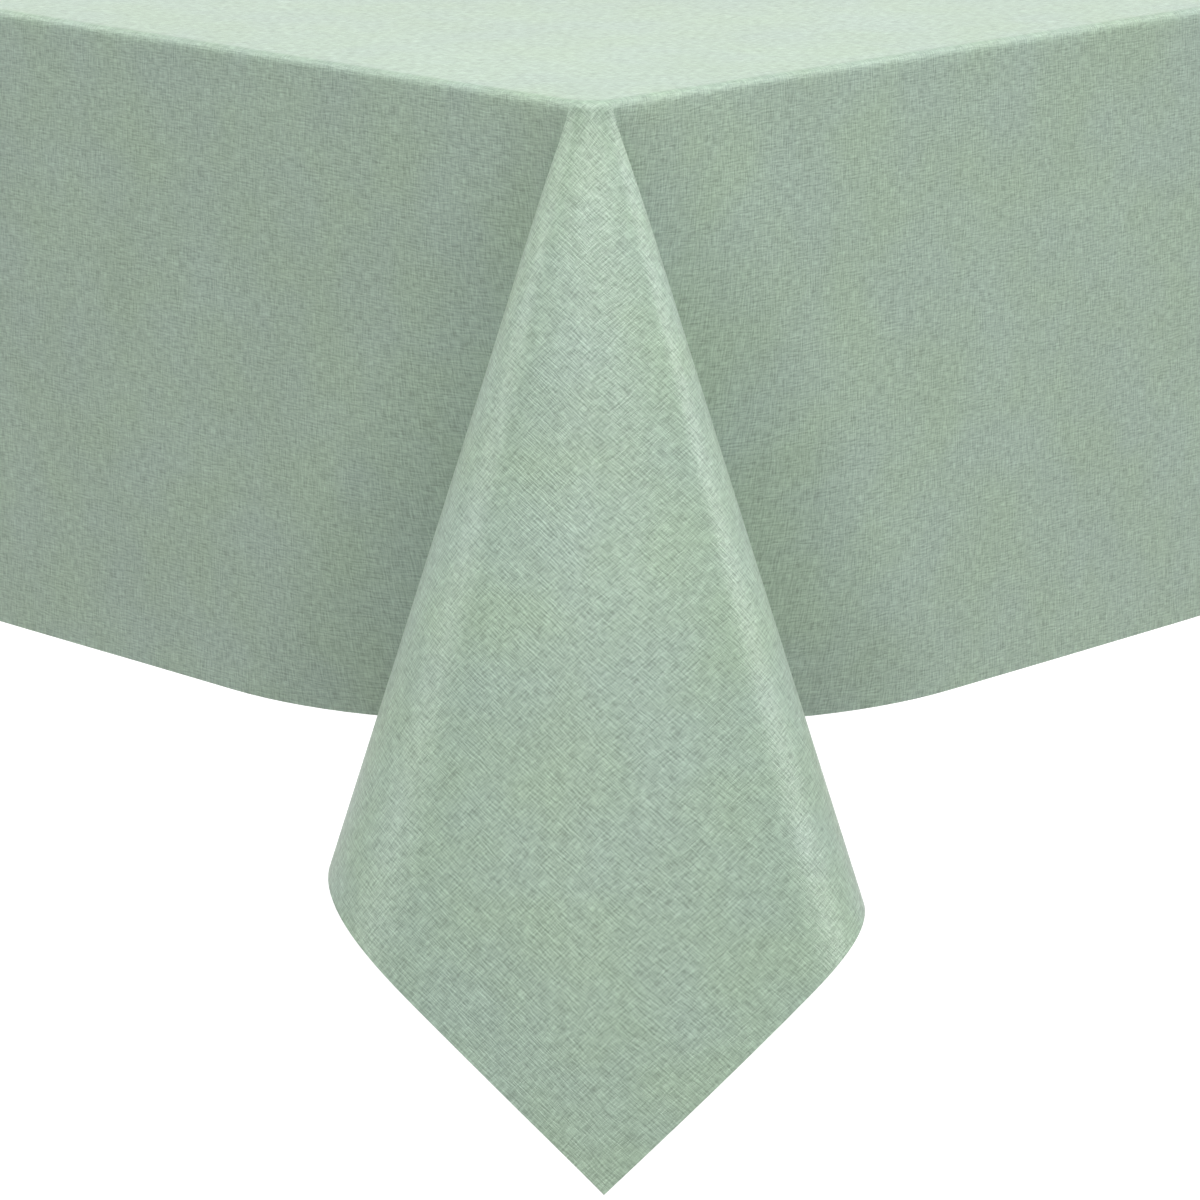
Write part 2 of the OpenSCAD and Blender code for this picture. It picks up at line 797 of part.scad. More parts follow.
module barrel_nuts() {
    color(STEEL)
        for (side = [-1, 1])
            for (z = bolt_zs)
                difference() {
                    translate([side * nut_x, -nut_l / 2, z])
                        rotate([-90, 0, 0])
                            cylinder(d = nut_d, h = nut_l);
                    translate([side * nut_x - nut_d, 0, z])
                        rotate([0, 90, 0])
                            cylinder(d = bolt_d, h = 2 * nut_d);
                }
}

// ================================================================ the glides
module glides() {
    color(NYLON)
        for (sx = [-1, 1])
            for (sy = [-1, 1])
                translate([sx * trestle_x, sy * glide_y, 0])
                    difference() {
                        cylinder(d = glide_d, h = glide_t);
                        translate([0, 0, glide_t / 2])
                            cylinder(d = glide_pin_d, h = glide_t);
                    }
}

module glide_pins() {
    color(STEEL)
        for (sx = [-1, 1])
            for (sy = [-1, 1])
                translate([sx * trestle_x, sy * glide_y, glide_t / 2])
                    cylinder(d = glide_pin_d, h = glide_t / 2 + glide_pin_l);
}

cloth_face();
cloth_backing();
top_panel();
end_board_left();
end_board_right();
end_board_pegs();
head_beam_left();
head_beam_right();
post_left();
post_right();
foot_beam_left();
foot_beam_right();
tenon_pegs();
top_rail();
cleat_front();
cleat_back();
cleat_screws();
rail_bolts();
rail_bolt_washers();
barrel_nuts();
top_screws();
top_screw_washers();
glides();
glide_pins();
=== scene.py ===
"""A vinyl tablecloth draped over a trestle table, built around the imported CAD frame. Metres, +Z up."""
from math import cos, pi, radians, sin, sqrt

import bpy
import numpy as np
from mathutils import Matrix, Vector


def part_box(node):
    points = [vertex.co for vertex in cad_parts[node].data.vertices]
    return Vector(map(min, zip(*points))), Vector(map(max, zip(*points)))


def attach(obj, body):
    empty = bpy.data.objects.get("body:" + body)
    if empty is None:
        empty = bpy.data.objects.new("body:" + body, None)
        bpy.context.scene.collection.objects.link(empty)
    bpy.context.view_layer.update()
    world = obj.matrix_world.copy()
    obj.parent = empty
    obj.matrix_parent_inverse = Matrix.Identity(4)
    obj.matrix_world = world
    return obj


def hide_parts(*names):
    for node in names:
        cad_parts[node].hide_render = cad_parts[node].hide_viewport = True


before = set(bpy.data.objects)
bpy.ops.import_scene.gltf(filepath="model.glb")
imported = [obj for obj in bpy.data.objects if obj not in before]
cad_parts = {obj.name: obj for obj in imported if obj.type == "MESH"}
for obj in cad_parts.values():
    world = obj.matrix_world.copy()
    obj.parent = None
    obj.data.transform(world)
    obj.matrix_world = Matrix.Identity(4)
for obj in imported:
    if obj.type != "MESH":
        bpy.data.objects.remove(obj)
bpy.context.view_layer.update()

# ---------------------------------------------------------------- sizes

CLOTH_L = 2.134        # the cloth as it is cut, along X
CLOTH_W = 1.524        # and along Y
FACE_T = 0.0004        # printed vinyl
BACKING_T = 0.0006     # brushed flannel under it
CLOTH_T = FACE_T + BACKING_T
GAP = 0.0005           # air between the hanging cloth and the edge of the top
TOP_CORNER_R = 0.013   # the top's corners, seen from above
TOP_EDGE_R = 0.003     # the top's upper edge
TOP_EDGE_H = 0.006     # its rounding and its flat together, above the bevel

TOP_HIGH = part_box("top_panel")[1]
BOARD_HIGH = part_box("end_board_right")[1]
HALF_X = BOARD_HIGH[0] + GAP + CLOTH_T
HALF_Y = TOP_HIGH[1] + GAP + CLOTH_T
CLOTH_Z = TOP_HIGH[2] + CLOTH_T
DROP = CLOTH_L / 2 - HALF_X
CORNER_R = TOP_CORNER_R + GAP + CLOTH_T
EDGE_REACH = TOP_EDGE_R + CLOTH_T
FAN_SIDE = 0.046       # how far past the rounded corner a fold's cloth starts along the edge
NECK = 0.009           # depth over which a fold clings to the top's corner before it opens

# A corner fold of the cloth. Lengths are for each unit of depth below the top.
FOLD = dict(
    turn=0.31,           # from the corner to where the side starts to turn in
    turn_round=0.22,
    valley_side=0.06,    # the valley behind the fold, across and inwards
    valley_in=0.37,
    valley_round=0.06,
    out=0.356,           # how far the front leans out
    round=0.13,
    bow=0.045,           # how far the middle of the front stands ahead of its edges
    spread=0.93,         # share of its own width that the front takes from the flat cloth
    bias=0.048,          # stretch of the cloth where it hangs on its bias
    sway=0.0125,         # lean of the tip to one side
)

scene = bpy.context.scene


# ---------------------------------------------------------------- camera

LENS = 146.2           # mm, on a sensor SENSOR_W mm wide
SENSOR_W = 36.0
FAR_CLIP = 60.0
CAMERA_DISTANCE = 1.711            # from the near corner of the cloth
CAMERA_PLACE = (45.15, 9.04)       # azimuth and elevation of the camera, seen from that corner
CAMERA_AIM = (45.04, 14.85)        # azimuth and elevation of the way it looks back along


def look_from(azimuth, elevation):
    """Unit vector towards a place at that azimuth and elevation, in degrees. Azimuth 0 is -Y."""
    a, e = radians(azimuth), radians(elevation)
    return Vector((sin(a) * cos(e), -cos(a) * cos(e), sin(e)))


def make_camera():
    """A long lens at the near corner of the cloth, looking a little down."""
    corner = Vector((HALF_X, -HALF_Y, CLOTH_Z))
    data = bpy.data.cameras.new("camera")
    data.sensor_width = SENSOR_W
    data.lens = LENS
    data.clip_end = FAR_CLIP
    data.dof.use_dof = False
    cam = bpy.data.objects.new("camera", data)
    scene.collection.objects.link(cam)
    cam.location = corner + CAMERA_DISTANCE * look_from(*CAMERA_PLACE)
    cam.rotation_euler = (-look_from(*CAMERA_AIM)).to_track_quat("-Z", "Y").to_euler()
    scene.camera = cam


make_camera()


# ---------------------------------------------------------------- a fold's section

SIDE_SHARE = 1.5       # how far out along the side a section starts, against where the side turns in
TURN_STEPS = 10        # steps around each rounding, and along half of the front
VALLEY_STEPS = 12
SHOULDER_STEPS = 20
FRONT_STEPS = 8


def unit(v):
    return v / np.linalg.norm(v)


def turned(v, angle):
    return np.array([v[0] * cos(angle) - v[1] * sin(angle), v[0] * sin(angle) + v[1] * cos(angle)])


def rounded(a, b, c, radius, steps):
    """Points of the arc that rounds the corner b of the path a, b, c."""
    a, b, c = (np.array(p, float) for p in (a, b, c))
    u, v = unit(a - b), unit(c - b)
    half = np.arccos(np.clip(u @ v, -1, 1)) / 2
    centre = b + unit(u + v) * radius / sin(half)
    start = b + u * radius / np.tan(half) - centre
    stop = b + v * radius / np.tan(half) - centre
    sweep = np.arccos(np.clip(start @ stop / (start @ start), -1, 1))
    if start[0] * stop[1] < start[1] * stop[0]:
        sweep = -sweep
    return [centre + turned(start, t) for t in np.linspace(0, sweep, steps + 1)]


def half_section(f):
    """Half of a fold's section at unit depth, from the side of the cloth to the middle of the front:
    its points, and where the valley, the front's edge and the flat front start among them."""
    nose = f["out"] - f["bow"]
    side = (-SIDE_SHARE * f["turn"], -SIDE_SHARE * f["turn"])
    turn = (-f["turn"], -f["turn"])
    valley = (-f["valley_side"], -f["valley_in"])
    edge = (-f["half"], nose)
    inward = rounded(side, turn, valley, f["turn_round"], TURN_STEPS)
    bottom = rounded(turn, valley, edge, f["valley_round"], VALLEY_STEPS)
    shoulder = rounded(valley, edge, (0, nose + 2 * f["bow"]), f["round"], SHOULDER_STEPS)
    end, ahead = shoulder[-1]
    crown = -f["bow"] * end / f["half"]
    across = np.linspace(end, 0, FRONT_STEPS + 1)[1:]
    front = [np.array([t, ahead + crown * (1 - (t / end) ** 2)]) for t in across]
    points = [np.array(side)] + inward + bottom + shoulder + front
    valley_at = 1 + len(inward)
    edge_at = valley_at + len(bottom)
    return np.array(points), valley_at, edge_at, edge_at + len(shoulder)


# ---------------------------------------------------------------- columns of cloth

# A column runs down the cloth from the edge of the top to the hem. Its places are (x, y) or (x, y, z).
# start and hem are its ends, out is the outward normal at the edge, and cut_start and cut_hem are
# its ends on the flat cloth. cling is 1 where it hangs straight down at first, as a fold's neck does.

def column(start, out, hem, cut_start, cut_hem, cling):
    return dict(start=start, out=out, hem=hem, cut_start=cut_start, cut_hem=cut_hem, cling=cling)


def degrees_between(ways):
    """The angle between each of these unit vectors and the next."""
    return np.degrees(np.arccos(np.clip((ways[1:] * ways[:-1]).sum(1), -1, 1)))


LOOSE_STEPS = 5        # columns past the valley's start that still keep the side's own angle


def cut_angles(f, section, down, valley_at, edge_at):
    """The angle of each column on the flat cloth, in degrees from the line through the corner. The
    side keeps its own, the front keeps a share of its width, and the flank takes up the rest."""
    to_middle = np.r_[np.cumsum(degrees_between(down)[::-1])[::-1], 0]
    loose = valley_at + LOOSE_STEPS
    angle = 45 + np.degrees(np.arctan(np.linalg.norm(section, axis=1)))
    angle[edge_at:] = to_middle[edge_at:] * f["spread"]
    flank = np.arange(loose + 1, edge_at)
    part = (to_middle[flank] - to_middle[edge_at]) / (to_middle[loose] - to_middle[edge_at])
    angle[flank] = angle[edge_at] + (angle[loose] - angle[edge_at]) * part
    return angle


EDGE_AROUND = 0.70     # how far round the top's corner the edge of the front starts, 0 in the middle
FRONT_AROUND = 0.20    # and how far round its flat part starts
BIAS_SWAY_ANGLE = 25   # degrees on the flat cloth over which a column takes on the fold's sway
BIAS_STRETCH_ANGLE = 20            # and its stretch


def edge_place(around):
    """Where a column starts on the edge of the top, across and ahead of the corner, and how far the
    edge has turned there. 0 is the middle of the rounded corner, 1 its end and 2 the fan's end."""
    bend = radians(45 * min(around, 1))
    if around <= 1:
        return np.array([-CORNER_R * sin(bend), CORNER_R * (cos(bend) - sqrt(2))]), bend
    return -np.ones(2) * (CORNER_R + FAN_SIDE * (around - 1)) / sqrt(2), bend


def half_corner(f, corner, along, out, sway):
    """The columns over half a corner, from the side of the cloth to the middle of the fold.
    along points from the corner down the side, and out away from the table."""
    across = -(along + out) / sqrt(2)
    ahead = (out - along) / sqrt(2)
    section, valley_at, edge_at, front_at = half_section(f)
    count = len(section)
    down = np.c_[section, -np.ones(count)]
    down /= np.linalg.norm(down, axis=1)[:, None]
    angle = cut_angles(f, section, down, valley_at, edge_at)
    around = np.interp(
        np.arange(count),
        [0, valley_at, edge_at, front_at - 1, count - 1],
        [2, 1, EDGE_AROUND, FRONT_AROUND, 0],
    )
    columns = []
    for k in range(count):
        start, bend = edge_place(around[k])
        from_side = 45 - angle[k]
        way = unit(down[k] + np.array([sway * np.clip(from_side / BIAS_SWAY_ANGLE, 0, 1), 0, 0]))
        reach = DROP + CORNER_R * (1 - cos(radians(45) - bend))
        cut_length = reach / cos(radians(from_side))
        length = cut_length * (1 + f["bias"] * np.clip(from_side / BIAS_STRETCH_ANGLE, 0, 1))
        normal = cos(bend) * ahead - sin(bend) * across
        flat = cos(radians(angle[k])) * ahead - sin(radians(angle[k])) * across
        place = corner + start[0] * across + start[1] * ahead
        hem = place + length * (way[0] * across + way[1] * ahead)
        hem = np.append(hem, CLOTH_Z + length * way[2])
        cling = np.clip(2 - around[k], 0, 1)
        columns.append(column(place, normal, hem, place, place + cut_length * flat, cling))
    return columns


PANEL_STEP = 0.03      # width of a column on the sides


def panel(first, last, out):
    """The plain columns of a side between those of its two folds."""
    count = int(round(np.linalg.norm(last["start"] - first["start"]) / PANEL_STEP))
    keys = ("start", "hem", "cut_start", "cut_hem")
    columns = []
    for k in range(1, count):
        share = k / count
        ends = {key: first[key] * (1 - share) + last[key] * share for key in keys}
        columns.append(column(out=out, cling=0.0, **ends))
    return columns


# Each side: its direction, its outward normal, and how far its hem wanders, with the wave's phase.
SIDES = [
    ((1, 0), (0, -1), 0.0030, 0.4),
    ((0, 1), (1, 0), 0.0030, 2.1),
    ((-1, 0), (0, 1), 0.0045, 1.2),
    ((0, -1), (-1, 0), 0.0040, 3.3),
]
LONG_WAVE = 0.62       # lengths of the two waves along a hem
SHORT_WAVE = 0.37
SHORT_SHARE = 0.6      # height of the short wave against the long one
WAVE_FADE = 0.30       # length over which they fade out towards a fold

# The fold at the end of each side, in its left and right half seen from outside: half is the half
# width of its front, and the rest is where it differs from FOLD.
CORNER_FOLDS = [
    (dict(half=0.418, round=0.165, spread=1.0),
     dict(half=0.354, round=0.105, spread=0.90, valley_in=0.36)),
    (dict(half=0.40, out=0.37, sway=-0.02),
     dict(half=0.42, out=0.37, sway=-0.02)),
    (dict(half=0.43, out=0.35, sway=0.015, round=0.14),
     dict(half=0.39, out=0.35, sway=0.015, round=0.14)),
    (dict(half=0.41, out=0.365, sway=-0.008, round=0.12),
     dict(half=0.40, out=0.365, sway=-0.008, round=0.12)),
]


def corner_columns(number):
    """The columns of the left and right half of the fold at the end of side number."""
    along, out = (np.array(v, float) for v in SIDES[number][:2])
    after = np.array(SIDES[(number + 1) % len(SIDES)][0], float)
    corner = (along + out) * (HALF_X, HALF_Y)
    left, right = ({**FOLD, **changes} for changes in CORNER_FOLDS[number])
    return (
        half_corner(left, corner, -along, out, left["sway"]),
        half_corner(right, corner, after, along, -right["sway"]),
    )


def hem_wave(share, length, depth, phase):
    """How far the hem stands out at these shares of a side's length."""
    spot = share * length
    long_wave = np.sin(2 * pi * spot / LONG_WAVE + phase)
    short_wave = np.sin(2 * pi * spot / SHORT_WAVE + 2 * phase)
    fade = np.clip(np.minimum(share, 1 - share) * length / WAVE_FADE, 0, 1)
    return depth * (long_wave + SHORT_SHARE * short_wave) * fade**2 * (3 - 2 * fade)


def all_columns():
    """The columns all the way round, and how far out each one's hem waves."""
    halves = [corner_columns(number) for number in range(len(SIDES))]
    columns, waves = [], []
    for number, (_, out, depth, phase) in enumerate(SIDES):
        before, own = halves[number - 1][1], halves[number][0]
        plain = panel(before[0], own[0], np.array(out, float))
        share = np.arange(1, len(plain) + 1) / (len(plain) + 1)
        length = np.linalg.norm(own[0]["start"] - before[0]["start"])
        waves += [0.0] * (len(before) - 1)
        waves += list(hem_wave(share, length, depth, phase))
        waves += [0.0] * len(own)
        columns += before[:-1][::-1] + plain + own
    return columns, np.array(waves)


# ---------------------------------------------------------------- the cloth's surface

EDGE_STEPS = 6         # rows over the edge of the top, and down from it
DOWN_STEPS = 30
DOWN_CROWDING = 1.15   # over 1, the rows lie closer together near the top
WAVE_GROWTH = 1.4      # how the waves of a hem grow with the depth
TOP_RINGS = [0.15, 0.35, 0.55, 0.75, 0.9]      # shares of the top's size at its own rows


def drape():
    """The cloth's upper, outer surface: a grid of places and of places on the flat cloth, one row for
    each ring of the top, step over the edge and step down to the hem."""
    columns, waves = all_columns()
    keys = ("start", "out", "hem", "cut_start", "cut_hem", "cling")
    start, out, hem, cut_start, cut_hem, cling = (np.array([c[key] for c in columns]) for key in keys)
    edge = np.c_[start, np.full(len(start), CLOTH_Z)]
    outward = np.c_[out, np.zeros(len(out))]
    way = hem - edge
    length = np.linalg.norm(way, axis=1)[:, None]
    cut_way = cut_hem - cut_start
    rim = edge - EDGE_REACH * outward
    places = [rim * (s, s, 1) for s in TOP_RINGS]
    cuts = [rim[:, :2] * s for s in TOP_RINGS]

    def hung(down):
        """Places at these shares of the columns' lengths."""
        depth = -down[:, 0] * way[:, 2]
        spread = 1 - cling * np.exp(-depth / NECK)
        return edge + down * way * np.c_[spread, spread, np.ones(len(way))]

    bent = hung(EDGE_REACH / length)
    for t in np.linspace(0, 1, EDGE_STEPS + 1):
        places.append((1 - t) ** 2 * rim + 2 * t * (1 - t) * edge + t**2 * bent)
        from_edge = EDGE_REACH * (2 * t - 1)
        cuts.append(cut_start + from_edge * (out if from_edge < 0 else cut_way / length))
    for share in np.linspace(0, 1, DOWN_STEPS + 1)[1:] ** DOWN_CROWDING:
        down = (EDGE_REACH + (length - EDGE_REACH) * share) / length
        places.append(hung(down) + waves[:, None] * down**WAVE_GROWTH * outward)
        cuts.append(cut_start + down * cut_way)
    places = np.array(places)
    keep_off_the_edge(places)
    return places, np.array(cuts)


HANGS_FROM = 0.9       # share of EDGE_REACH below which the cloth counts as hanging
HELD_OUT = 0.1         # the edge holds out only cloth that lies less than this far inside it


def keep_off_the_edge(places):
    """Holds the cloth outside the straight edge of the top, and lets it turn in below that."""
    depth = CLOTH_Z - places[:, :, 2]
    room = np.clip(depth - TOP_EDGE_H - CLOTH_T, 0, None)
    hanging = depth > EDGE_REACH * HANGS_FROM
    halves = (HALF_X, HALF_Y)
    for axis, half in enumerate(halves):
        other = 1 - axis
        along = np.abs(places[:, :, other]) < halves[other] - CORNER_R
        inside = half - np.abs(places[:, :, axis])
        held = hanging & along & (inside > room) & (inside < HELD_OUT)
        side = np.sign(places[:, :, axis])
        places[:, :, axis] = np.where(held, side * (half - room), places[:, :, axis])


def normals(places):
    """Outward normals of the grid, which closes on itself along its rows."""
    across = np.roll(places, -1, axis=1) - np.roll(places, 1, axis=1)
    down = np.gradient(places, axis=0)
    n = np.cross(down, across)
    n[: len(TOP_RINGS)] = (0, 0, 1)
    return n / np.linalg.norm(n, axis=2)[:, :, None]


OUTER, HIDDEN, CUT_EDGE = range(3)     # the kinds of faces of a skin
SHARP_ANGLE = radians(60)


def skin(name, places, cuts, way, outer, inner):
    """A closed sheet between two depths under the cloth's surface, with its flat places as a UV map."""
    rows, count = places.shape[:2]
    middle = np.array([[0, 0, CLOTH_Z]])
    up = np.array([[0, 0, 1.0]])
    layers = []
    for depth in (outer, inner):
        layers += [middle - depth * up, (places - depth * way).reshape(-1, 3)]
    verts = np.concatenate(layers)
    flat = np.concatenate([[[0, 0]], cuts.reshape(-1, 2)])
    under = 1 + rows * count
    faces, kinds = skin_faces(rows, count, under)
    mesh = bpy.data.meshes.new(name)
    mesh.from_pydata(verts.tolist(), [], faces)
    corners = np.empty(len(mesh.loops), int)
    mesh.loops.foreach_get("vertex_index", corners)
    lay_flat(mesh, "Cut", flat[corners % under])
    lay_flat(mesh, "OFBake", bake_places(mesh, flat, corners, under, kinds, count))
    for polygon, kind in zip(mesh.polygons, kinds):
        polygon.material_index = 1 if kind == CUT_EDGE else 0
        polygon.use_smooth = kind != CUT_EDGE
    mesh.set_sharp_from_angle(angle=SHARP_ANGLE)
    ob = bpy.data.objects.new(name, mesh)
    scene.collection.objects.link(ob)
    return ob


def skin_faces(rows, count, under):
    """The faces of a skin and their kinds. Its hidden side's corners lie under places further on."""

    def at(row, k):
        return 1 + row * count + k % count

    faces, kinds = [], []
    for k in range(count):
        both = [(0, at(0, k), at(0, k + 1))]
        for row in range(rows - 1):
            both.append((at(row, k), at(row + 1, k), at(row + 1, k + 1), at(row, k + 1)))
        for face in both:
            faces += [face, tuple(under + corner for corner in reversed(face))]
            kinds += [OUTER, HIDDEN]
        first, second = at(rows - 1, k), at(rows - 1, k + 1)
        faces.append((first, under + first, under + second, second))
        kinds.append(CUT_EDGE)
    return faces, kinds


def lay_flat(mesh, name, uv):
    """Adds a UV map with a place for each corner of each face."""
    mesh.uv_layers.new(name=name).data.foreach_set("uv", uv.astype(np.float32).ravel())


BAKE_MARGIN = 0.002    # layout of the bake map, in shares of its width
HIDDEN_SCALE = 0.36
HIDDEN_PLACE = (0.004, 0.722)
STRIP_LOW, STRIP_HIGH = 0.985, 0.995


def bake_places(mesh, flat, corners, under, kinds, count):
    """The outer side large, the hidden side small above it, and the cut edge as a strip over both."""
    span = 1 - 3 * BAKE_MARGIN
    share = (flat + (CLOTH_L / 2, CLOTH_W / 2)) / CLOTH_L
    uv = BAKE_MARGIN + share[corners % under] * span
    hidden = corners >= under
    uv[hidden] = share[corners[hidden] % under] * HIDDEN_SCALE + HIDDEN_PLACE
    strip = 0
    for polygon, kind in zip(mesh.polygons, kinds):
        if kind == CUT_EDGE:
            left, right = (BAKE_MARGIN + span * step / count for step in (strip, strip + 1))
            uv[list(polygon.loop_indices)] = [
                (left, STRIP_LOW), (left, STRIP_HIGH), (right, STRIP_HIGH), (right, STRIP_LOW)
            ]
            strip += 1
    return uv


# ---------------------------------------------------------------- material helpers

def new_material(name):
    mat = bpy.data.materials.new(name)
    mat.use_nodes = True
    return mat, mat.node_tree, mat.node_tree.nodes["Principled BSDF"]


def add(tree, kind, **settings):
    node = tree.nodes.new("ShaderNode" + kind)
    for key, value in settings.items():
        setattr(node, key, value)
    return node


def join(tree, source, target):
    tree.links.new(source, target)


def cut_map(tree):
    return add(tree, "UVMap", uv_map="Cut").outputs["UV"]


def scaled(tree, vector, scale):
    node = add(tree, "Mapping")
    node.inputs["Scale"].default_value = scale
    join(tree, vector, node.inputs["Vector"])
    return node.outputs["Vector"]


def noise(tree, vector, scale=1.0, detail=2.0, roughness=0.5):
    node = add(tree, "TexNoise")
    node.inputs["Scale"].default_value = scale
    node.inputs["Detail"].default_value = detail
    node.inputs["Roughness"].default_value = roughness
    join(tree, vector, node.inputs["Vector"])
    return node.outputs["Fac"]


def maths(tree, operation, a, b=None):
    node = add(tree, "Math", operation=operation)
    for socket, value in zip(node.inputs, (a, b)):
        if isinstance(value, (int, float)):
            socket.default_value = value
        elif value is not None:
            join(tree, value, socket)
    return node.outputs[0]


def ranged(tree, value, low, high, to_low, to_high):
    node = add(tree, "MapRange")
    for socket, v in zip(node.inputs[1:5], (low, high, to_low, to_high)):
        socket.default_value = v
    join(tree, value, node.inputs[0])
    return node.outputs[0]


def mixed(tree, factor, a, b, blend="MIX"):
    """Mixes two colours, or a colour with a link, by a number or a link."""
    node = add(tree, "Mix", data_type="RGBA", blend_type=blend)
    for socket, value in zip((node.inputs[0], node.inputs[6], node.inputs[7]), (factor, a, b)):
        if isinstance(value, (int, float)):
            socket.default_value = value
        elif isinstance(value, tuple):
            socket.default_value = (*value, 1)
        else:
            join(tree, value, socket)
    return node.outputs[2]


def bumped(tree, shader, height, strength, distance):
    node = add(tree, "Bump")
    node.inputs["Strength"].default_value = strength
    node.inputs["Distance"].default_value = distance
    join(tree, height, node.inputs["Height"])
    join(tree, node.outputs["Normal"], shader.inputs["Normal"])


# ---------------------------------------------------------------- the cloth's materials

THREAD = (1500, 190)   # threads to the metre across a thread, and how fast one changes along itself
SLUB = (300, 14)       # the same for the thicker stretches of the threads


def crossed(tree, uv, rates, **settings):
    """Two noises drawn out along the cloth's two directions, added up."""
    across, along = rates
    warp = noise(tree, scaled(tree, uv, (across, along, 1)), **settings)
    weft = noise(tree, scaled(tree, uv, (along, across, 1)), **settings)
    return maths(tree, "ADD", warp, weft)


def vinyl():
    """Sage green printed vinyl with a fine, uneven linen weave pressed into it."""
    mat, tree, shader = new_material("sage_vinyl")
    uv = cut_map(tree)
    weave = maths(tree, "MULTIPLY", crossed(tree, uv, THREAD, detail=2.0, roughness=0.6), 0.5)
    slub = crossed(tree, uv, SLUB)
    cloud = noise(tree, uv, scale=16.0, detail=3.0)
    tint = ranged(tree, noise(tree, uv, scale=26.0, detail=2.0), 0.35, 0.65, 0, 1)
    base = mixed(tree, tint, (0.313, 0.417, 0.314), (0.313, 0.411, 0.336))
    light = ranged(tree, weave, 0.36, 0.64, 0.70, 1.30)
    light = maths(tree, "MULTIPLY", light, ranged(tree, slub, 0.7, 1.3, 0.965, 1.035))
    light = maths(tree, "MULTIPLY", light, ranged(tree, cloud, 0.3, 0.7, 0.97, 1.03))
    grey = add(tree, "CombineColor")
    for socket in grey.inputs:
        join(tree, light, socket)
    join(tree, mixed(tree, 1.0, base, grey.outputs[0], "MULTIPLY"), shader.inputs["Base Color"])
    join(tree, ranged(tree, weave, 0.35, 0.65, 0.42, 0.29), shader.inputs["Roughness"])
    shader.inputs["Sheen Weight"].default_value = 0.06
    shader.inputs["Sheen Roughness"].default_value = 0.5
    bumped(tree, shader, weave, 0.9, 0.0004)
    return mat


def cut_edge(name, colour):
    """The cloth's clean-cut edge."""
    mat, tree, shader = new_material(name)
    speck = noise(tree, cut_map(tree), scale=900.0)
    light = tuple(min(1.0, c * 1.15) for c in colour)
    join(tree, mixed(tree, speck, colour, light), shader.inputs["Base Color"])
    shader.inputs["Roughness"].default_value = 0.7
    return mat


def flannel():
    """Off-white brushed flannel with a soft nap."""
    mat, tree, shader = new_material("flannel_backing")
    uv = cut_map(tree)
    nap = noise(tree, scaled(tree, uv, (420, 700, 1)), detail=3.0, roughness=0.7)
    cloud = noise(tree, uv, scale=20.0, detail=3.0)
    base = mixed(tree, nap, (0.62, 0.61, 0.56), (0.84, 0.83, 0.79))
    greyer = ranged(tree, cloud, 0.3, 0.7, 0, 0.25)
    join(tree, mixed(tree, greyer, base, (0.70, 0.72, 0.67)), shader.inputs["Base Color"])
    shader.inputs["Roughness"].default_value = 0.95
    shader.inputs["Specular IOR Level"].default_value = 0.1
    shader.inputs["Sheen Weight"].default_value = 0.3
    bumped(tree, shader, nap, 0.6, 0.0006)
    return mat


# ---------------------------------------------------------------- the cloth

SKIN_GAP = 0.00002     # keeps the two skins' faces apart
VINYL_EDGE = (0.33, 0.38, 0.35)
FLANNEL_EDGE = (0.42, 0.45, 0.43)


def make_cloth():
    places, cuts = drape()
    way = normals(places)
    face = skin("tablecloth_vinyl_face", places, cuts, way, 0.0, FACE_T)
    backing = skin("tablecloth_flannel_backing", places, cuts, way, FACE_T + SKIN_GAP, CLOTH_T)
    face.data.materials.append(vinyl())
    face.data.materials.append(cut_edge("vinyl_cut_edge", VINYL_EDGE))
    backing.data.materials.append(flannel())
    backing.data.materials.append(cut_edge("flannel_cut_edge", FLANNEL_EDGE))
    for piece, node, slot in ((face, "cloth_face", "vinyl"), (backing, "cloth_backing", "flannel")):
        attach(piece, "tablecloth")
        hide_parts(node)


make_cloth()


# ---------------------------------------------------------------- the table's materials

# Noise cells to the metre, few along the grain and many across it
GRAIN_ALONG = {"X": (1.2, 26, 26), "Y": (26, 1.2, 26), "Z": (26, 26, 1.2)}
STAVE_W = 0.127        # width of the boards glued up into the top
RING_SHARE = 0.25      # share of the growth rings in the tone of the wood
OAK = ((0.52, 0.36, 0.205), (0.335, 0.215, 0.115))             # light and dark
PEG_OAK = ((0.30, 0.185, 0.095), (0.19, 0.11, 0.055))


